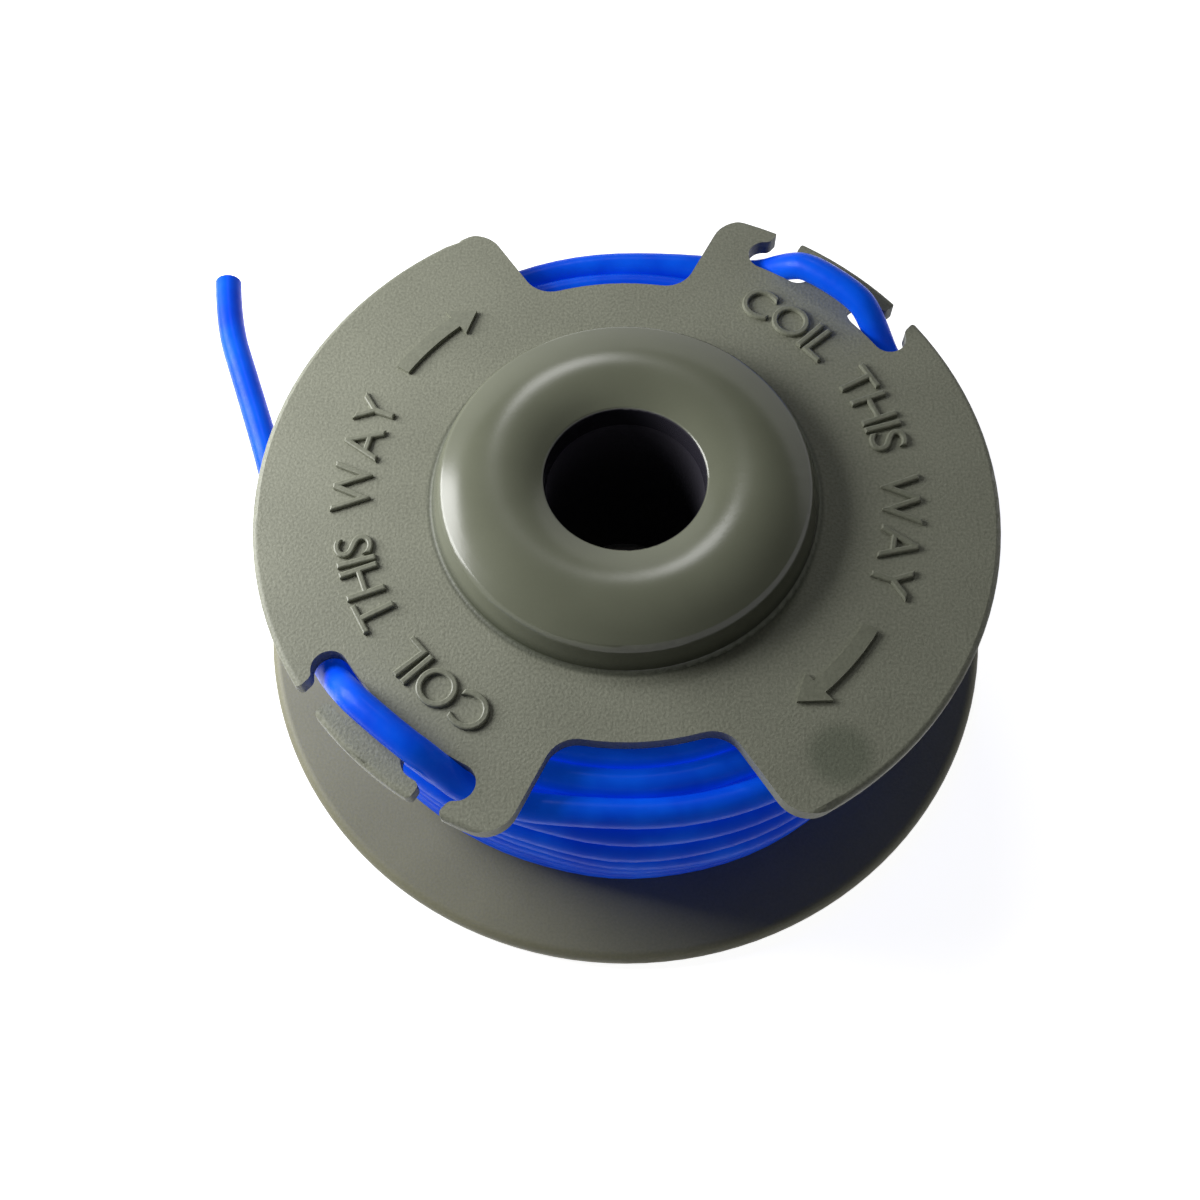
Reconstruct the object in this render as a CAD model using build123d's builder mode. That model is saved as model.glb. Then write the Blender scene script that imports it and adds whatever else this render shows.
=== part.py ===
"""Trimmer line spool: one moulded spool, the line wound on it, and the two line ends parked in its slots.

Millimetres. The origin is the centre of the base that the spool stands on, and +Z runs up its bore.
Azimuths are in degrees, counter-clockwise from +X seen from above.
"""

import os
from math import cos, degrees, pi, radians, sin, sqrt, tan

from build123d import *

# Line
line_diameter = 2.0

# Flanges
flange_radius = 26.0
flange_thickness = 1.3
flange_rim_rounding = 0.4
rim_height = 19.4  # base to the upper face of the top flange
lower_flange_radius = 28.75
lower_flange_thickness = 1.6
lower_rim_rounding = 0.7

# Drum, open below
drum_radius = 12.8
drum_wall = 1.6

# Domed boss, heights above the top flange
boss_radius = 13.5
boss_shoulder_inset = 0.7
boss_shoulder_height = 2.1
boss_crest_radius = 9.2
boss_crest_height = 3.0
boss_wall = 2.0
boss_shoulder_rounding = 0.7
boss_foot_rounding = 0.3
bore_radius = 5.55
bore_lip_height = 2.2
bore_lip_rounding = 0.3
sleeve_wall = 1.2
sleeve_foot_height = 1.5  # base up to the lower end of the bore's sleeve

# Openings of the top flange: each is made twice, half a turn apart
turns = (0.0, 180.0)

# Wide finger notches
notch_azimuth = 94.0
notch_depth = 7.7
notch_floor_half_width = 5.4
notch_flare = 30.4
notch_floor_rounding = 2.2
notch_rim_rounding = 2.4

# Hooked line slots: two open holes with a rim tab between them, which the parked line crosses
slot_azimuth = 49.0
slot_inset = 2.47  # rim to the slot's centreline
slot_clearance = 0.5
slot_half_angle = 14.4
hook_root_half_angle = 15.6
hook_tip_half_angle = 14.2
hook_tip_rounding = 0.4
hook_root_rounding = 0.6
tab_half_angle = 9.75
tab_rounding = 0.4
web_half_angle = 4.6  # half of the web that joins the tab to the flange

# Ratchet lugs around the inside of the drum's mouth
lug_count = 8
lug_depth = 1.5
lug_width = 3.0
lug_height = 6.0

# Winding
winding_clearance = 0.15
winding_margin = 3.6  # rim to the centre of the uppermost outer turn
winding_bulge = 1.0  # how much further out the middle turns lie
winding_taper = 0.4  # how much further in the lowest outer turn lies
winding_top_drop = 4.4  # top flange's upper face down to the uppermost outer turn
winding_top_turns = 3  # turns seen under the flange's openings
winding_pitch_slack = 0.06

# Parked line ends
line_play = 0.35  # between the line and the flange that it passes
bend_share = 0.45  # share of the shorter run that each bend takes up

# Working values
line_radius = line_diameter / 2
flange_underside = rim_height - flange_thickness
slot_radius = flange_radius - slot_inset
slot_width = line_diameter + slot_clearance
slot_outer_radius = slot_radius + slot_width / 2
notch_floor_radius = flange_radius - notch_depth
cavity_radius = drum_radius - drum_wall
cut_margin = 2.0


def polar(radius, azimuth, height=0.0):
    """The point at that radius, azimuth and height."""
    return (radius * cos(radians(azimuth)), radius * sin(radians(azimuth)), height)


def turned(along, across, azimuth):
    """The point of an opening drawn along +X, turned to that azimuth."""
    return Vector(along, across, 0).rotate(Axis.Z, azimuth)


def vertices_near(sketch, points):
    """The sketch's vertex nearest to each of the points."""
    return [sketch.vertices().sort_by_distance(point)[0] for point in points]


# Outline of the top flange seen from above, with its notches and slots
notch_floor_reach = sqrt(notch_floor_radius**2 - notch_floor_half_width**2)
notch_mouth_reach = flange_radius + cut_margin
notch_spread = (notch_mouth_reach - notch_floor_reach) * tan(radians(notch_flare))
notch_mouth_half_width = notch_floor_half_width + notch_spread

with BuildSketch() as flange_outline:
    Circle(flange_radius)
    for turn in turns:
        with Locations(Location((0, 0, 0), (0, 0, notch_azimuth + turn))):
            Polygon(
                (notch_floor_reach, -notch_floor_half_width),
                (notch_mouth_reach, -notch_mouth_half_width),
                (notch_mouth_reach, notch_mouth_half_width),
                (notch_floor_reach, notch_floor_half_width),
                align=None,
                mode=Mode.SUBTRACT,
            )
    Circle(notch_floor_radius)
    floor_corners = []
    rim_corners = []
    for turn in turns:
        for side in (1, -1):
            azimuth = notch_azimuth + turn
            floor_corners.append(turned(notch_floor_reach, side * notch_floor_half_width, azimuth))
            rim_corners.append(turned(notch_mouth_reach, side * notch_mouth_half_width, azimuth))
    fillet(vertices_near(flange_outline, floor_corners), radius=notch_floor_rounding)
    fillet(vertices_near(flange_outline, rim_corners), radius=notch_rim_rounding)

    hole_start = web_half_angle + degrees(slot_width / 2 / slot_radius)
    hole_sweep = slot_half_angle - hole_start
    for turn in turns:
        with Locations(Location((0, 0, 0), (0, 0, slot_azimuth + turn))):
            for side in (1, -1):
                hole_line = CenterArc(
                    (0, 0), slot_radius, side * hole_start, side * hole_sweep, mode=Mode.PRIVATE
                )
                SlotArc(hole_line, slot_width, mode=Mode.SUBTRACT)
                Polygon(
                    polar(slot_radius, side * tab_half_angle)[:2],
                    polar(flange_radius + cut_margin, side * tab_half_angle)[:2],
                    polar(flange_radius + cut_margin, side * hook_tip_half_angle)[:2],
                    polar(flange_radius, side * hook_tip_half_angle)[:2],
                    polar(slot_radius, side * hook_root_half_angle)[:2],
                    align=None,
                    mode=Mode.SUBTRACT,
                )
    hook_tips = []
    hook_roots = []
    tab_corners = []
    for turn in turns:
        for side in (1, -1):
            azimuth = slot_azimuth + turn
            hook_tips.append(polar(flange_radius, azimuth + side * hook_tip_half_angle))
            hook_roots.append(polar(slot_outer_radius, azimuth + side * hook_root_half_angle))
            tab_corners.append(polar(flange_radius, azimuth + side * tab_half_angle))
            tab_corners.append(polar(slot_outer_radius, azimuth + side * tab_half_angle))
    fillet(vertices_near(flange_outline, hook_tips), radius=hook_tip_rounding)
    fillet(vertices_near(flange_outline, hook_roots), radius=hook_root_rounding)
    fillet(vertices_near(flange_outline, tab_corners), radius=tab_rounding)

# Spool body: revolved section, flange openings and ratchet lugs
bore_lip = (bore_radius, rim_height + bore_lip_height)
boss_crest = (boss_crest_radius, rim_height + boss_crest_height)
boss_shoulder = (boss_radius - boss_shoulder_inset, rim_height + boss_shoulder_height)
boss_foot = (boss_radius, rim_height)
rim_top = (flange_radius, rim_height)
rim_under = (flange_radius, flange_underside)
drum_top = (drum_radius, flange_underside)
drum_foot = (drum_radius, lower_flange_thickness)
lower_rim_top = (lower_flange_radius, lower_flange_thickness)
lower_rim_base = (lower_flange_radius, 0)
cavity_mouth = (cavity_radius, 0)
cavity_top = (cavity_radius, rim_height + boss_shoulder_height - boss_wall)
ceiling_crest = (boss_crest_radius, rim_height + boss_crest_height - boss_wall)
sleeve_root = (bore_radius + sleeve_wall, rim_height + bore_lip_height - boss_wall)
sleeve_foot = (bore_radius + sleeve_wall, sleeve_foot_height)
bore_foot = (bore_radius, sleeve_foot_height)

with BuildPart() as spool_body:
    with BuildSketch(Plane.XZ) as section:
        with BuildLine():
            ThreePointArc(bore_lip, boss_crest, boss_shoulder)
            Polyline(
                boss_shoulder,
                boss_foot,
                rim_top,
                rim_under,
                drum_top,
                drum_foot,
                lower_rim_top,
                lower_rim_base,
                cavity_mouth,
                cavity_top,
            )
            ThreePointArc(cavity_top, ceiling_crest, sleeve_root)
            Polyline(sleeve_root, sleeve_foot, bore_foot, bore_lip)
        make_face()
        fillet(vertices_near(section, [boss_shoulder]), radius=boss_shoulder_rounding)
        fillet(vertices_near(section, [boss_foot]), radius=boss_foot_rounding)
        fillet(vertices_near(section, [bore_lip]), radius=bore_lip_rounding)
        fillet(vertices_near(section, [rim_top, rim_under]), radius=flange_rim_rounding)
        fillet(vertices_near(section, [lower_rim_top, lower_rim_base]), radius=lower_rim_rounding)
    revolve(axis=Axis.Z)

    with BuildSketch(Plane.XY.offset(flange_underside - cut_margin)):
        Circle(flange_radius + cut_margin)
        add(flange_outline.sketch, mode=Mode.SUBTRACT)
    extrude(amount=flange_thickness + 2 * cut_margin, mode=Mode.SUBTRACT)

    lug_root = drum_wall / 2
    with BuildSketch():
        with PolarLocations(cavity_radius, lug_count, start_angle=180 / lug_count):
            Polygon(
                (lug_root, -lug_width / 2),
                (lug_root, lug_width / 2),
                (-lug_depth, lug_width / 2),
                (-lug_depth, lug_width / 2 - lug_depth),
                align=None,
            )
    extrude(amount=lug_height)

spool_body.part.label = "spool_body"

# Winding: a core with a ridge for each outer turn and each turn under the flange
turn_pitch = line_diameter + winding_pitch_slack
lowest_turn_height = lower_flange_thickness + winding_clearance + line_radius
highest_turn_height = rim_height - winding_top_drop
outer_turn_gaps = int((highest_turn_height - lowest_turn_height) / turn_pitch)
winding_inner_radius = drum_radius + winding_clearance
outer_turns = []
for gap in range(outer_turn_gaps + 1):
    share = gap / outer_turn_gaps
    bulge = 4 * winding_bulge * share * (1 - share) - winding_taper * (1 - share) ** 2
    turn_radius = flange_radius - winding_margin + bulge
    turn_height = lowest_turn_height + (highest_turn_height - lowest_turn_height) * share
    outer_turns.append((turn_radius, turn_height))
top_turns = []
top_turn_height = flange_underside - winding_clearance - line_radius
for number in range(1, winding_top_turns + 1):
    top_turns.append((flange_radius - winding_margin - number * turn_pitch, top_turn_height))

with BuildPart() as line_winding:
    with BuildSketch(Plane.XZ):
        with BuildLine():
            Polyline(
                (winding_inner_radius, lowest_turn_height - line_radius),
                (outer_turns[0][0], lowest_turn_height - line_radius),
                *outer_turns,
                *top_turns,
                (winding_inner_radius, top_turn_height),
                close=True,
            )
        make_face()
        with Locations(*outer_turns, *top_turns):
            Circle(line_radius)
    revolve(axis=Axis.Z)

line_winding.part.label = "line_winding"

# Line ends: distance beyond the slot's radius, azimuth from its middle and height, clockwise
under_flange = flange_underside - line_radius - line_play
over_web = rim_height + line_radius + line_play
parked_route = (
    (0.0, 27.0, under_flange),
    (0.05, 16.7, under_flange),
    (0.0, 5.2, over_web),
    (0.0, -5.2, over_web),
    (0.05, -16.7, under_flange),
    (0.15, -27.5, under_flange),
    (0.25, -38.0, under_flange),
)
# The left end runs on past the rim as a free tail
tail_route = (
    (2.4, -56.3, under_flange - 0.05),
    (7.3, -70.3, under_flange - 0.15),
    (11.4, -77.2, under_flange - 0.35),
    (14.1, -82.4, under_flange - 0.55),
)


def route_points(route, turn):
    """The places of a route in the slot at that turn."""
    middle = slot_azimuth + turn
    return [polar(slot_radius + beyond, middle + azimuth, height) for beyond, azimuth, height in route]


def bend_radii(points):
    """The largest bend at each inner point of a route that its two runs leave room for."""
    radii = []
    for before, corner, after in zip(points, points[1:], points[2:]):
        run_in = Vector(corner) - Vector(before)
        run_out = Vector(after) - Vector(corner)
        shorter = min(run_in.length, run_out.length)
        radii.append(bend_share * shorter / tan(radians(run_in.get_angle(run_out)) / 2))
    return radii


def line_end(name, points):
    """A line end as a round tube along its route."""
    radii = bend_radii(points)
    with BuildPart() as tube:
        with BuildLine() as route:
            FilletPolyline(*points, radius=radii)
        with BuildSketch(Plane(origin=route.line @ 0, z_dir=route.line % 0)):
            Circle(line_radius)
        sweep(path=route.line)
    tube.part.label = name
    length = route.wires()[0].length
    share = tube.part.volume / (pi * line_radius**2 * length)
    print(name, "length", round(length, 2), "volume share", round(share, 5))
    print(name, "bend radii", [round(radius, 1) for radius in radii])
    return tube


line_end_right = line_end("line_end_right", route_points(parked_route, turns[0]))
line_end_left = line_end("line_end_left", route_points(parked_route + tail_route, turns[1]))

os.makedirs("parts", exist_ok=True)
for piece in (spool_body, line_winding, line_end_left, line_end_right):
    export_step(piece.part, f"parts/{piece.part.label}.step")
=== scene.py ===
"""Looks of the trimmer line spool: moulded plastic, wound line, parked line ends and raised signs.

The frame is the solids' own: the origin is the base's centre and +Z runs up the bore.
Sizes are written in millimetres and multiplied by MM. Azimuths are in degrees, counter-clockwise from +X.
"""

import math

import bpy
from mathutils import Matrix, Vector


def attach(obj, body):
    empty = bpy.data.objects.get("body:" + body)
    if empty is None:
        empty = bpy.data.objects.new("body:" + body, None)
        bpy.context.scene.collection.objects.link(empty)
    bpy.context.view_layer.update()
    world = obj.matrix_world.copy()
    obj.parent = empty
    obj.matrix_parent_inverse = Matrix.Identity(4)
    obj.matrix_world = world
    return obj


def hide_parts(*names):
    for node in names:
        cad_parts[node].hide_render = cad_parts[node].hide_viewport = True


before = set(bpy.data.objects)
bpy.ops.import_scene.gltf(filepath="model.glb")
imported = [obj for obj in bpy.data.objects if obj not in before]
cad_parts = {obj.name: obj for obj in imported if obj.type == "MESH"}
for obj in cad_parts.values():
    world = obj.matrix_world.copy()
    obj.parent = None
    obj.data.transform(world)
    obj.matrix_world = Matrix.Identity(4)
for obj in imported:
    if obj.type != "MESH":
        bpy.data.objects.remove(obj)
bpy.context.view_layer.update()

MM = 0.001

# Sizes shared with the solids, in millimetres
LINE_RADIUS = 1.0
RIM_HEIGHT = 19.4
BOSS_RADIUS = 13.5
BORE_RADIUS = 5.55
LOWER_FLANGE_RADIUS = 28.75
SLOT_AZIMUTH = 49.0
SLOT_RADIUS = 23.53
UNDER_FLANGE = 16.75
TURNS = (0.0, 180.0)

# Where a strand of the winding becomes a parked end: radius, and azimuth from the slot's middle
FEED_RADIUS = 22.6
FEED_AZIMUTH = 27.0


def polar(radius, azimuth, height):
    """The point at that radius, azimuth and height, in metres."""
    turn = math.radians(azimuth)
    return Vector((radius * math.cos(turn), radius * math.sin(turn), height)) * MM


def smooth_step(share):
    """0 to 1 with level ends."""
    share = min(1.0, max(0.0, share))
    return share * share * (3 - 2 * share)


def ripple(turned, size, waves, phase):
    """A small sine with that many waves in a turn."""
    return size * math.sin(math.radians(waves * turned + phase))


def link(name, data):
    """A new object in the scene."""
    made = bpy.data.objects.new(name, data)
    bpy.context.scene.collection.objects.link(made)
    return made


# Camera: found from the photograph by making the flange's openings match at half a turn
CAMERA_PLACE = Vector((0.0, -47.165, 101.054)) * MM
CAMERA_AIM = Vector((-1.983, 0.0, 2.116)) * MM
CAMERA_ROLL = -0.030254
CAMERA_LENS = 40.43
CAMERA_SENSOR = 36.0
NEAREST_SEEN = 5.0
FARTHEST_SEEN = 10000.0


def make_camera():
    """The camera, aimed and then rolled about its line of sight."""
    data = bpy.data.cameras.new("camera")
    data.sensor_width = CAMERA_SENSOR
    data.lens = CAMERA_LENS
    data.clip_start = NEAREST_SEEN * MM
    data.clip_end = FARTHEST_SEEN * MM
    camera = link("camera", data)
    forward = (CAMERA_AIM - CAMERA_PLACE).normalized()
    level_right = forward.cross(Vector((0, 0, 1))).normalized()
    level_up = level_right.cross(forward)
    right = math.cos(CAMERA_ROLL) * level_right + math.sin(CAMERA_ROLL) * level_up
    up = math.cos(CAMERA_ROLL) * level_up - math.sin(CAMERA_ROLL) * level_right
    turn = Matrix((right, up, -forward)).transposed()
    camera.matrix_world = Matrix.Translation(CAMERA_PLACE) @ turn.to_4x4()
    bpy.context.scene.camera = camera


# Materials


class Shader:
    """Adds and links the nodes of one material."""

    def __init__(self, name):
        self.material = bpy.data.materials.new(name)
        self.material.use_nodes = True
        self.tree = self.material.node_tree
        self.tree.nodes.clear()

    def add(self, kind, output=0, settings=None, **inputs):
        """A node with its settings and inputs. An input that is a socket is linked, any other is set."""
        node = self.tree.nodes.new(kind)
        for name, value in (settings or {}).items():
            setattr(node, name, value)
        for name, value in inputs.items():
            socket = self.socket(node, name)
            if isinstance(value, bpy.types.NodeSocket):
                self.tree.links.new(value, socket)
            else:
                socket.default_value = value
        return node.outputs[output]

    @staticmethod
    def socket(node, name):
        """An input by its number, as in i0, or by its name with _ for a space."""
        if name[0] == "i" and name[1:].isdigit():
            return node.inputs[int(name[1:])]
        return node.inputs[name.replace("_", " ")]

    def math(self, operation, *values):
        """The result of one operation on one or two values."""
        inputs = {f"i{number}": value for number, value in enumerate(values)}
        return self.add("ShaderNodeMath", settings={"operation": operation}, **inputs)

    def ramp(self, value, low, high, to_low=0.0, to_high=1.0):
        """value from low to high, mapped with level ends and held outside them."""
        return self.add(
            "ShaderNodeMapRange",
            settings={"interpolation_type": "SMOOTHSTEP"},
            Value=value,
            From_Min=low,
            From_Max=high,
            To_Min=to_low,
            To_Max=to_high,
        )

    def zone(self, place, bounds, to_low=0.0, to_high=1.0):
        """A ramp over a radius or height between two bounds, which are in millimetres."""
        low, high = bounds
        return self.ramp(place, low * MM, high * MM, to_low, to_high)

    def mix(self, share, first, second, blend="MIX"):
        """A colour between two, or their blend."""
        return self.add(
            "ShaderNodeMix",
            output=2,
            settings={"data_type": "RGBA", "blend_type": blend},
            i0=share,
            i6=first,
            i7=second,
        )

    def noise(self, place, size, detail):
        """Noise with features of about that size, in millimetres."""
        return self.add("ShaderNodeTexNoise", Vector=place, Scale=1 / (size * MM), Detail=detail)

    def from_axis(self, place, x=0.0, y=0.0):
        """The distance in plan from an upright axis, whose x and y are in millimetres."""
        parts = self.add("ShaderNodeSeparateXYZ", Vector=place).node
        along = self.math("SUBTRACT", parts.outputs[0], x * MM)
        across = self.math("SUBTRACT", parts.outputs[1], y * MM)
        flat = self.add("ShaderNodeCombineXYZ", X=along, Y=across)
        return self.add("ShaderNodeVectorMath", output=1, settings={"operation": "LENGTH"}, i0=flat)

    def height(self, place):
        """The place's height above the base."""
        return self.add("ShaderNodeSeparateXYZ", output=2, Vector=place)

    def finish(self, surface):
        """The material, with that surface as its look."""
        output = self.tree.nodes.new("ShaderNodeOutputMaterial")
        self.tree.links.new(surface, output.inputs["Surface"])
        return self.material


# Colours of the plastic
PLASTIC_PALE = (0.268, 0.276, 0.212, 1)
PLASTIC_DARK = (0.166, 0.172, 0.128, 1)
POLISHED_TINT = (0.70, 0.72, 0.67, 1)
# Painted shade: near-black colour for the bore's wall, standing in for the shade inside the hole
BORE_PAINTED_SHADE = (0.030, 0.028, 0.038, 1)
MARK_TINT = (0.64, 0.68, 0.64, 1)
# Painted shade: a dark ring in the crease at the boss's foot
FOOT_PAINTED_SHADE = (0.42, 0.44, 0.40, 1)
# Painted shade and a painted warm reflection: the lower flange darker and browner
LOWER_PAINTED_SHADE = (0.88, 0.83, 0.68, 1)

# Radii and heights between which a look of the plastic sets in, in millimetres
RAISED_HEIGHTS = (RIM_HEIGHT + 0.08, RIM_HEIGHT + 0.28)
UPPER_HEIGHTS = (RIM_HEIGHT - 0.6, RIM_HEIGHT - 0.4)
LOWER_HEIGHTS = (5.0, 2.0)
COARSE_HEIGHTS = (4.0, 10.0)
DOME_RADII = (BOSS_RADIUS + 0.9, BOSS_RADIUS + 0.5)
BORE_RADII = (BORE_RADIUS + 0.12, BORE_RADIUS + 0.02)
FOOT_RADIUS = BOSS_RADIUS + 0.05
FOOT_REACH = (0.42, 0.06)  # distances from the boss's foot
MARK_PLACE = (13.8, -19.0)
MARK_RADIUS = 2.25
MARK_REACH = (MARK_RADIUS + 0.5, MARK_RADIUS - 1.0)  # distances from the mark's middle

# Surface of the plastic: in a pair, the first is for grained and the second for polished plastic
GRAIN_SIZE = 0.2
MOTTLE_SIZE = 6.0
PLASTIC_NOISE_DETAIL = 2.0
MOTTLE_CONTRAST = 0.6
MOTTLE_BASE = 0.2
NOISE_MIDDLE = 0.5
SPECK_CONTRASTS = (1.9, 0.1)
PLASTIC_ROUGHNESSES = (0.52, 0.18)
GRAIN_STRENGTHS = (0.6, 0.04)
LOWER_GRAIN = 0.4  # share of the grain that the lower flange shows
SIGN_POLISH = 0.4  # share of the boss's polish that the signs have
MOTTLE_WEAR = 0.06
GRAIN_DEPTH = 0.05
PLASTIC_SPECULAR = 0.5


def spool_plastic():
    """Olive-grey plastic: grained flanges, polished boss and signs, a dull moulding mark; painted shade in
    the bore, at the boss's foot and on the lower flange.
    """
    shader = Shader("spool_plastic")
    place = shader.add("ShaderNodeTexCoord", output=3)
    radius = shader.from_axis(place)
    height = shader.height(place)

    raised = shader.zone(height, RAISED_HEIGHTS)
    dome = shader.zone(radius, DOME_RADII, SIGN_POLISH)
    polished = shader.math("MULTIPLY", raised, dome)
    upper = shader.zone(height, UPPER_HEIGHTS)
    from_foot = shader.math("ABSOLUTE", shader.math("SUBTRACT", radius, FOOT_RADIUS * MM))
    # Painted shade in the crease at the boss's foot, on the upper face only
    foot = shader.math("MULTIPLY", shader.zone(from_foot, FOOT_REACH), upper)
    from_mark = shader.from_axis(place, *MARK_PLACE)
    mark = shader.math("MULTIPLY", shader.zone(from_mark, MARK_REACH), upper)
    # Mask of the bore's wall, where painted shade goes
    bore = shader.zone(radius, BORE_RADII)
    # Mask of the lower flange, which painted shade and a painted warm reflection darken
    lower = shader.zone(height, LOWER_HEIGHTS)

    mottle = shader.noise(place, MOTTLE_SIZE, PLASTIC_NOISE_DETAIL)
    grain = shader.noise(place, GRAIN_SIZE, PLASTIC_NOISE_DETAIL)
    shade = shader.math("ADD", shader.math("MULTIPLY", mottle, MOTTLE_CONTRAST), MOTTLE_BASE)
    contrast = shader.ramp(polished, 0.0, 1.0, *SPECK_CONTRASTS)
    coarse = shader.zone(height, COARSE_HEIGHTS, LOWER_GRAIN)
    speck = shader.math("MULTIPLY", shader.math("SUBTRACT", grain, NOISE_MIDDLE), contrast)
    speck = shader.math("MULTIPLY", speck, coarse)
    tone = shader.math("ADD", shade, speck)
    colour = shader.mix(tone, PLASTIC_DARK, PLASTIC_PALE)
    # Painted shade and painted warm reflection on the lower flange
    colour = shader.mix(lower, colour, LOWER_PAINTED_SHADE, "MULTIPLY")
    colour = shader.mix(polished, colour, POLISHED_TINT, "MULTIPLY")
    colour = shader.mix(mark, colour, MARK_TINT, "MULTIPLY")
    # Painted shade: darkens the ring at the boss's foot
    colour = shader.mix(foot, colour, FOOT_PAINTED_SHADE, "MULTIPLY")
    # Painted shade: the bore's wall turns near-black
    colour = shader.mix(bore, colour, BORE_PAINTED_SHADE)

    gloss = shader.ramp(polished, 0.0, 1.0, *PLASTIC_ROUGHNESSES)
    worn = shader.math("MULTIPLY", mottle, MOTTLE_WEAR)
    roughness = shader.math("ADD", gloss, worn)
    strength = shader.math("MULTIPLY", shader.ramp(polished, 0.0, 1.0, *GRAIN_STRENGTHS), coarse)
    bump = shader.add("ShaderNodeBump", Strength=strength, Distance=GRAIN_DEPTH * MM, Height=grain)
    surface = shader.add(
        "ShaderNodeBsdfPrincipled",
        Base_Color=colour,
        Roughness=roughness,
        Specular_IOR_Level=PLASTIC_SPECULAR,
        Normal=bump,
    )
    return shader.finish(surface)


LINE_DEEP = (0.001, 0.050, 0.600, 1)
LINE_CLEAR = (0.002, 0.086, 0.720, 1)
LINE_CLOUD_SIZE = 5.0
LINE_CLOUD_RANGE = (0.35, 0.68)  # of the noise, from deep to clear
LINE_GRAIN_SIZE = 0.5
LINE_GRAIN_RANGE = (0.3, 0.7)
LINE_GRAIN_STRENGTH = 0.15
LINE_GRAIN_DEPTH = 0.05
LINE_NOISE_DETAIL = 3.0
LINE_ROUGHNESSES = (0.28, 0.40)
LINE_SPECULAR = 0.1
# Painted light: the line emits its own colour, a glow that brightens it though it is no lamp
LINE_PAINTED_GLOW = 0.28


def cutting_line():
    """Glossy blue nylon with a painted glow that brightens it beyond its lighting, and a faint drawn grain.
    """
    shader = Shader("cutting_line")
    place = shader.add("ShaderNodeTexCoord", output=3)
    cloud = shader.noise(place, LINE_CLOUD_SIZE, LINE_NOISE_DETAIL)
    grain = shader.noise(place, LINE_GRAIN_SIZE, LINE_NOISE_DETAIL)
    colour = shader.mix(shader.ramp(cloud, *LINE_CLOUD_RANGE), LINE_DEEP, LINE_CLEAR)
    roughness = shader.ramp(grain, *LINE_GRAIN_RANGE, *LINE_ROUGHNESSES)
    bump = shader.add(
        "ShaderNodeBump",
        Strength=LINE_GRAIN_STRENGTH,
        Distance=LINE_GRAIN_DEPTH * MM,
        Height=grain,
    )
    surface = shader.add(
        "ShaderNodeBsdfPrincipled",
        Base_Color=colour,
        Roughness=roughness,
        Normal=bump,
        Specular_IOR_Level=LINE_SPECULAR,
        # Painted glow: emission in the line's own colour
        Emission_Color=colour,
        Emission_Strength=LINE_PAINTED_GLOW,
    )
    shader.material.cycles.emission_sampling = "NONE"
    return shader.finish(surface)


FLOOR_PALE = (0.86, 0.86, 0.86, 1)
FLOOR_DULL = (0.84, 0.84, 0.84, 1)
FLOOR_CLOUD_SIZE = 40.0
FLOOR_CLOUD_RANGE = (0.3, 0.7)
FLOOR_NOISE_DETAIL = 3.0
FLOOR_GLOW_RADII = (LOWER_FLANGE_RADIUS - 2, LOWER_FLANGE_RADIUS)
FLOOR_GLOW = 0.92


def pale_floor():
    """White floor that keeps the shadow. It shows white to the camera, except under the spool."""
    shader = Shader("pale_floor")
    path = shader.add("ShaderNodeLightPath").node
    seen = shader.math("MAXIMUM", path.outputs["Is Camera Ray"], path.outputs["Is Glossy Ray"])
    seen = shader.math("MAXIMUM", seen, path.outputs["Is Transmission Ray"])
    place = shader.add("ShaderNodeTexCoord", output=3)
    clear = shader.zone(shader.from_axis(place), FLOOR_GLOW_RADII)
    cloud = shader.noise(place, FLOOR_CLOUD_SIZE, FLOOR_NOISE_DETAIL)
    colour = shader.mix(shader.ramp(cloud, *FLOOR_CLOUD_RANGE), FLOOR_DULL, FLOOR_PALE)
    paint = shader.add("ShaderNodeBsdfDiffuse", Color=colour)
    strength = shader.math("MULTIPLY", shader.math("MULTIPLY", seen, clear), FLOOR_GLOW)
    glow = shader.add("ShaderNodeEmission", Strength=strength)
    shader.material.cycles.emission_sampling = "NONE"
    return shader.finish(shader.add("ShaderNodeAddShader", i0=paint, i1=glow))


# Line ends, near the solids' routes: radius, azimuth from the slot's middle and height, clockwise
OVER_WEB_EDGE = 20.0
OVER_WEB = 20.6
PARKED_ROUTE = (
    (FEED_RADIUS, FEED_AZIMUTH, UNDER_FLANGE),
    (SLOT_RADIUS - 0.2, 16.7, UNDER_FLANGE - 0.2),
    (SLOT_RADIUS - 0.25, 8.6, OVER_WEB_EDGE),
    (SLOT_RADIUS - 0.15, 4.5, OVER_WEB),
    (SLOT_RADIUS - 0.05, -4.5, OVER_WEB),
    (SLOT_RADIUS, -8.6, OVER_WEB_EDGE),
    (SLOT_RADIUS, -16.7, UNDER_FLANGE - 0.2),
    (SLOT_RADIUS + 0.15, -27.5, UNDER_FLANGE),
    (SLOT_RADIUS + 0.25, -38.0, UNDER_FLANGE),
)
# The left end runs on past the rim as a free tail
TAIL_ROUTE = (
    (SLOT_RADIUS + 2.4, -56.3, UNDER_FLANGE - 0.05),
    (SLOT_RADIUS + 7.3, -70.3, UNDER_FLANGE - 0.15),
    (SLOT_RADIUS + 11.4, -77.2, UNDER_FLANGE - 0.35),
    (SLOT_RADIUS + 14.1, -82.4, UNDER_FLANGE - 0.55),
)


def route_points(route, turn):
    """The places of a route in the slot at that turn, in metres."""
    return [polar(radius, SLOT_AZIMUTH + turn + azimuth, height) for radius, azimuth, height in route]


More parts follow.
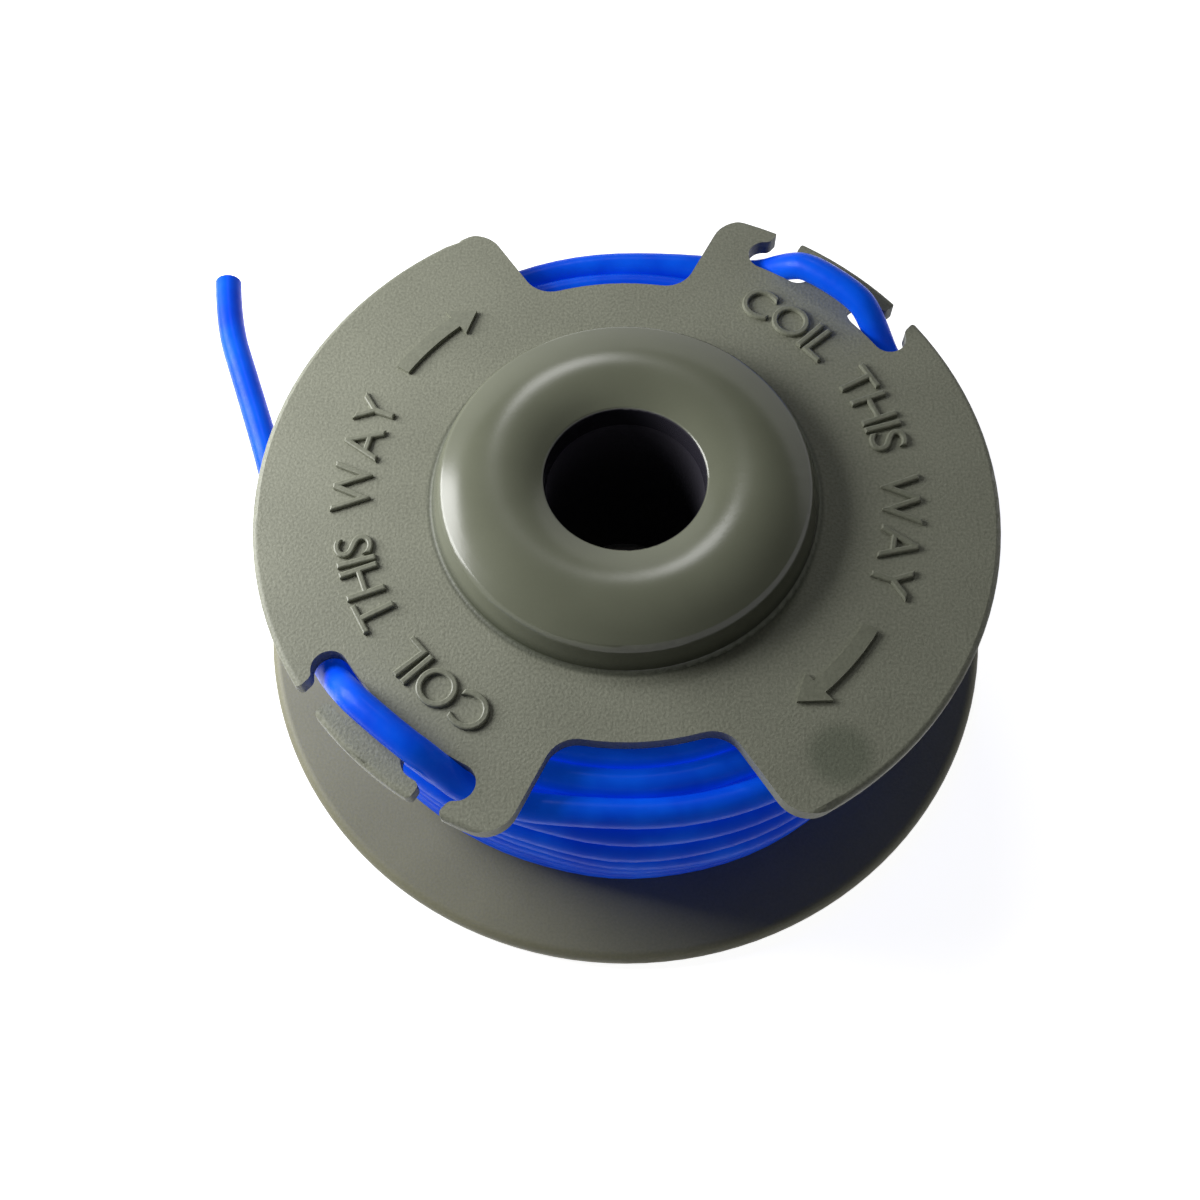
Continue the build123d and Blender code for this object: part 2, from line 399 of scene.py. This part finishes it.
def line_curve(name, points):
    """A round line along one smooth spline."""
    data = bpy.data.curves.new(name, "CURVE")
    data.dimensions = "3D"
    data.resolution_u = 12
    data.bevel_depth = LINE_RADIUS * MM
    data.bevel_resolution = 6
    data.use_fill_caps = True
    spline = data.splines.new("NURBS")
    spline.points.add(len(points) - 1)
    for control, place in zip(spline.points, points):
        control.co = (*place, 1)
    spline.order_u = 3
    spline.use_endpoint_u = True
    return link(name, data)


# Winding: two strands side by side, each from the drum out to its hook, clockwise
LAYER_RADII = (13.95, 16.05, 18.15, 20.2)
LAYER_ROWS = 8
LOW_ROW = 2.75
HIGH_ROWS = (16.9, 16.9, 16.9, 16.65)
HALF_TURN = 180.0
CROSSOVER = 40.0  # degrees in which a strand moves on to the next row or layer
LAST_LEVEL = 35.0  # degrees of the last inner row before the strand moves out
OUTER_RADIUS = 22.15
OUTER_SWEEP = 1249.0
OUTER_HIGH = 15.15  # height at which a strand leaves the outer layer for its hook
FEED_SWEEP = 104.0
FEED_JOIN = 15.0  # last degrees, in which the strand moves out to its parked end
BULGE = 0.75  # how much further out the middle turns lie
LOW_TAPER = 0.4  # how much further in the lowest outer turn lies
FRONT_SWELL = 0.45  # added to the bulge where the front notch shows the winding
FRONT_START = 254.0  # azimuth from which the swell rises
FRONT_RISE = 18.0
FRONT_END = 288.0  # azimuth from which it falls
FRONT_FALL = 34.0
RADIUS_RIPPLES = ((0.10, 1.37, 0.0), (0.06, 3.1, 40.0))  # size, waves in a turn and phase
HEIGHT_RIPPLE = (0.08, 1.9, 70.0)
EVEN_END = 60.0  # last degrees, in which the ripples die out
JOIN_PLACE = (22.81, 24.0, 16.69)  # where a strand stops inside its parked end
JOIN_RADIUS = 0.9
STRAND_STEP = 4.0  # degrees between the rings of a strand's tube
STRAND_SIDES = 14
INNER_SWEEP = (len(LAYER_RADII) * LAYER_ROWS - 1) * HALF_TURN + LAST_LEVEL + CROSSOVER


def row_place(half_turn):
    """Radius and height of the row that a strand fills in that half turn from the drum."""
    layer, number = divmod(half_turn, LAYER_ROWS)
    if layer == len(LAYER_RADII):
        return OUTER_RADIUS - LOW_TAPER, LOW_ROW
    share = number / (LAYER_ROWS - 1)
    if layer % 2:
        share = 1 - share
    return LAYER_RADII[layer], LOW_ROW + (HIGH_ROWS[layer] - LOW_ROW) * share


def inner_place(travelled):
    """Radius and height in the inner layers: level rows, each with a crossover at its end."""
    half_turn = int(travelled // HALF_TURN)
    last = half_turn == len(LAYER_RADII) * LAYER_ROWS - 1
    level = LAST_LEVEL if last else HALF_TURN - CROSSOVER
    cross = smooth_step((travelled % HALF_TURN - level) / CROSSOVER)
    radius, height = row_place(half_turn)
    next_radius, next_height = row_place(half_turn + 1)
    return radius + (next_radius - radius) * cross, height + (next_height - height) * cross


def outer_place(left, azimuth):
    """Radius and height in the outer layer, with that many degrees left to the strand's parked end."""
    climb = (OUTER_SWEEP - max(left, FEED_SWEEP)) / (OUTER_SWEEP - FEED_SWEEP)
    height = LOW_ROW + (OUTER_HIGH - LOW_ROW) * climb
    height += (UNDER_FLANGE - OUTER_HIGH) * smooth_step(1 - left / FEED_SWEEP)
    share = (height - LOW_ROW) / (UNDER_FLANGE - LOW_ROW)
    middle = 4 * share * (1 - share)
    turned = azimuth % 360
    front = smooth_step((turned - FRONT_START) / FRONT_RISE) - smooth_step((turned - FRONT_END) / FRONT_FALL)
    radius = OUTER_RADIUS - LOW_TAPER * (1 - share) ** 2 + middle * (BULGE + FRONT_SWELL * front)
    uneven = min(1.0, left / EVEN_END)
    radius += uneven * sum(ripple(left, *values) for values in RADIUS_RIPPLES)
    height += uneven * middle * ripple(left, *HEIGHT_RIPPLE)
    radius += (FEED_RADIUS - radius) * max(0.0, 1 - left / FEED_JOIN) ** 2
    return radius, height


def strand_points(turn):
    """One strand's points, ending where the parked route at that turn starts."""
    total = INNER_SWEEP + OUTER_SWEEP
    steps = round(total / STRAND_STEP)
    points = []
    for step in range(steps + 1):
        travelled = total * step / steps
        left = total - travelled
        azimuth = SLOT_AZIMUTH + turn + FEED_AZIMUTH + left
        if travelled < INNER_SWEEP:
            radius, height = inner_place(travelled)
        else:
            radius, height = outer_place(left, azimuth)
        points.append(polar(radius, azimuth, height))
    return points + route_points([JOIN_PLACE], turn)


def wound_line():
    """Both strands as tubes in one mesh."""
    vertices = []
    faces = []
    for turn in TURNS:
        points = strand_points(turn)
        first = len(vertices)
        for number, place in enumerate(points):
            before = points[max(0, number - 1)]
            after = points[min(len(points) - 1, number + 1)]
            along = (after - before).normalized()
            outwards = Vector((place.x, place.y, 0)).normalized()
            outwards = (outwards - along * outwards.dot(along)).normalized()
            upwards = along.cross(outwards)
            radius = JOIN_RADIUS if number == len(points) - 1 else LINE_RADIUS
            for side in range(STRAND_SIDES):
                angle = 2 * math.pi * side / STRAND_SIDES
                spoke = outwards * math.cos(angle) + upwards * math.sin(angle)
                vertices.append(place + spoke * radius * MM)
        for ring in range(len(points) - 1):
            low = first + ring * STRAND_SIDES
            high = low + STRAND_SIDES
            for side in range(STRAND_SIDES):
                follow = (side + 1) % STRAND_SIDES
                faces.append((low + side, low + follow, high + follow, high + side))
        last = first + (len(points) - 1) * STRAND_SIDES
        faces.append(tuple(first + side for side in reversed(range(STRAND_SIDES))))
        faces.append(tuple(last + side for side in range(STRAND_SIDES)))
    data = bpy.data.meshes.new("wound_line")
    data.from_pydata(vertices, [], faces)
    data.validate()
    data.shade_smooth()
    return link("wound_line", data)


# Raised signs on the flange: plain lettering and an arrow, twice, half a turn apart
SIGN_TEXT = "COIL THIS WAY"
SIGN_FOOT_RADIUS = 17.75
SIGN_CAP_HEIGHT = 2.7
SIGN_START = 62.5  # azimuths of the lettering's two ends
SIGN_END = -24.0
SIGN_RAISE = 0.3
SIGN_SINK = 0.05  # how far a sign runs down into the flange
LETTER_WEIGHT = -0.018  # for the font at its own size of 1
LETTER_BEVEL = 0.028
LETTER_EXTRUDE = 0.01
SPACE_WIDTH = 1.5
ARROW_TAIL = -32.0
ARROW_BARBS = -48.7
ARROW_TIP = -54.2
ARROW_RADII = (18.7, 19.75)
ARROW_BARB_RADII = (17.95, 20.5)
ARROW_TIP_RADIUS = 19.1
ARROW_STEPS = 10


def letter_mesh(letter):
    """One letter's raised form, its cap height set and its left edge at x = 0, and its width."""
    curve = bpy.data.curves.new("letter", "FONT")
    curve.body = letter
    curve.offset = LETTER_WEIGHT
    curve.extrude = LETTER_EXTRUDE
    curve.bevel_depth = LETTER_BEVEL
    curve.bevel_resolution = 1
    text = link("letter", curve)
    data = bpy.data.meshes.new_from_object(text)
    bpy.data.objects.remove(text)
    low = Vector([min(v.co[axis] for v in data.vertices) for axis in range(3)])
    high = Vector([max(v.co[axis] for v in data.vertices) for axis in range(3)])
    scale = SIGN_CAP_HEIGHT * MM / (high.y - low.y)
    raise_by = (SIGN_RAISE + SIGN_SINK) * MM / (high.z - low.z)
    base = (RIM_HEIGHT - SIGN_SINK) * MM
    for v in data.vertices:
        away = v.co - low
        v.co = (away.x * scale, away.y * scale, base + away.z * raise_by)
    return data, (high.x - low.x) * scale


def raised_letters():
    """The lettering of both signs in one mesh, its letters' tops outwards."""
    letters = {letter: letter_mesh(letter) for letter in sorted(set(SIGN_TEXT) - {" "})}
    widths = [SPACE_WIDTH * MM if letter == " " else letters[letter][1] for letter in SIGN_TEXT]
    middle = (SIGN_FOOT_RADIUS + SIGN_CAP_HEIGHT / 2) * MM
    room = math.radians(SIGN_START - SIGN_END) * middle
    gap = (room - sum(widths)) / (len(SIGN_TEXT) - 1)
    vertices = []
    faces = []
    for turn in TURNS:
        travelled = 0.0
        for letter, width in zip(SIGN_TEXT, widths):
            if letter != " ":
                data = letters[letter][0]
                azimuth = math.radians(SIGN_START + turn) - (travelled + width / 2) / middle
                clockwise = Vector((math.sin(azimuth), -math.cos(azimuth), 0))
                outwards = Vector((math.cos(azimuth), math.sin(azimuth), 0))
                first = len(vertices)
                for v in data.vertices:
                    across = clockwise * (v.co.x - width / 2)
                    up = outwards * (SIGN_FOOT_RADIUS * MM + v.co.y)
                    vertices.append(across + up + Vector((0, 0, v.co.z)))
                for face in data.polygons:
                    faces.append(tuple(first + index for index in face.vertices))
            travelled += width + gap
    data = bpy.data.meshes.new("raised_letters")
    data.from_pydata(vertices, [], faces)
    data.validate()
    return link("raised_letters", data)


def raised_arrows():
    """The two arrows: a shaft along the flange's curve and a plain head."""
    vertices = []
    faces = []
    inner, outer = ARROW_RADII
    for turn in TURNS:
        outline = []
        azimuths = [
            ARROW_TAIL + (ARROW_BARBS - ARROW_TAIL) * step / ARROW_STEPS for step in range(ARROW_STEPS + 1)
        ]
        outline += [(outer, azimuth) for azimuth in azimuths]
        outline += [(ARROW_BARB_RADII[1], ARROW_BARBS), (ARROW_TIP_RADIUS, ARROW_TIP)]
        outline += [(ARROW_BARB_RADII[0], ARROW_BARBS)]
        outline += [(inner, azimuth) for azimuth in reversed(azimuths)]
        first = len(vertices)
        count = len(outline)
        for height in (RIM_HEIGHT - SIGN_SINK, RIM_HEIGHT + SIGN_RAISE):
            vertices += [polar(radius, azimuth + turn, height) for radius, azimuth in outline]
        faces.append(tuple(first + index for index in range(count)))
        faces.append(tuple(first + count + index for index in reversed(range(count))))
        for index in range(count):
            follow = (index + 1) % count
            faces.append((first + follow, first + index, first + count + index, first + count + follow))
    data = bpy.data.meshes.new("raised_arrows")
    data.from_pydata(vertices, [], faces)
    data.validate()
    return link("raised_arrows", data)


def dress(piece, material, slot, *nodes):
    """Gives a piece its material and its body, and hides the solids that it stands for."""
    piece.data.materials.clear()
    piece.data.materials.append(material)
    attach(piece, "root")
    if nodes:
        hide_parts(*nodes)


def make_object():
    """The spool's solid with its material, and the pieces that replace or join the other solids."""
    plastic = spool_plastic()
    nylon = cutting_line()
    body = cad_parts["spool_body"]
    body.data.materials.clear()
    body.data.materials.append(plastic)

    right_turn, left_turn = TURNS
    left_points = route_points(PARKED_ROUTE + TAIL_ROUTE, left_turn)
    left = line_curve("parked_line_left", left_points)
    dress(left, nylon, "cutting_line", "line_end_left")
    right = line_curve("parked_line_right", route_points(PARKED_ROUTE, right_turn))
    dress(right, nylon, "cutting_line", "line_end_right")
    dress(wound_line(), nylon, "cutting_line", "line_winding")
    dress(raised_letters(), plastic, "spool_plastic")
    dress(raised_arrows(), plastic, "spool_plastic")


# Studio: the lights' places, aims and sizes in millimetres and powers in watts, the floor in metres
WORLD_WHITE = (1, 1, 1, 1)
WORLD_GLOW = 0.06
KEY_PLACE = (-88, 20, 62)
KEY_AIM = (0, 0, 15)
KEY_SIZE = (62, 62)
KEY_POWER = 0.16
BACK_PLACE = (-38, 235, 290)
BACK_AIM = (0, 0, 20)
BACK_SIZE = (60, 60)
BACK_POWER = 0.11
FLOOR_RADIUS = 1.2
WALL_RADIUS = 1.5
WALL_HEIGHT = 1.2
FLOOR_SIDES = 96
COVE_STEPS = 8


def area_light(name, place, aim, size, power):
    """A soft rectangular light: its place, aim and two sides in millimetres."""
    data = bpy.data.lights.new(name, "AREA")
    data.shape = "RECTANGLE"
    data.size, data.size_y = (side * MM for side in size)
    data.energy = power
    light = link(name, data)
    light.location = Vector(place) * MM
    light.rotation_mode = "QUATERNION"
    light.rotation_quaternion = (Vector(aim) * MM - light.location).to_track_quat("-Z", "Y")


def make_floor():
    """A round floor whose edge curves up into a pale wall."""
    rise = WALL_RADIUS - FLOOR_RADIUS
    profile = [(FLOOR_RADIUS, 0.0)]
    for step in range(1, COVE_STEPS + 1):
        angle = math.pi / 2 * step / COVE_STEPS
        profile.append((FLOOR_RADIUS + rise * math.sin(angle), rise * (1 - math.cos(angle))))
    profile.append((WALL_RADIUS, WALL_HEIGHT))
    vertices = []
    faces = []
    for radius, height in profile:
        for side in range(FLOOR_SIDES):
            angle = 2 * math.pi * side / FLOOR_SIDES
            vertices.append((radius * math.cos(angle), radius * math.sin(angle), height))
    faces.append(tuple(range(FLOOR_SIDES)))
    for ring in range(len(profile) - 1):
        low = ring * FLOOR_SIDES
        high = low + FLOOR_SIDES
        for side in range(FLOOR_SIDES):
            follow = (side + 1) % FLOOR_SIDES
            faces.append((low + side, high + side, high + follow, low + follow))
    data = bpy.data.meshes.new("floor")
    data.from_pydata(vertices, [], faces)
    data.materials.append(pale_floor())
    link("floor", data)


def make_studio():
    """A dim white sky, two soft lights and the floor."""
    world = bpy.data.worlds.new("studio")
    world.use_nodes = True
    sky = world.node_tree.nodes["Background"]
    sky.inputs["Color"].default_value = WORLD_WHITE
    sky.inputs["Strength"].default_value = WORLD_GLOW
    bpy.context.scene.world = world
    bpy.context.scene.view_settings.view_transform = "Standard"
    area_light("key", KEY_PLACE, KEY_AIM, KEY_SIZE, KEY_POWER)
    area_light("back", BACK_PLACE, BACK_AIM, BACK_SIZE, BACK_POWER)
    make_floor()


make_camera()
make_studio()
make_object()
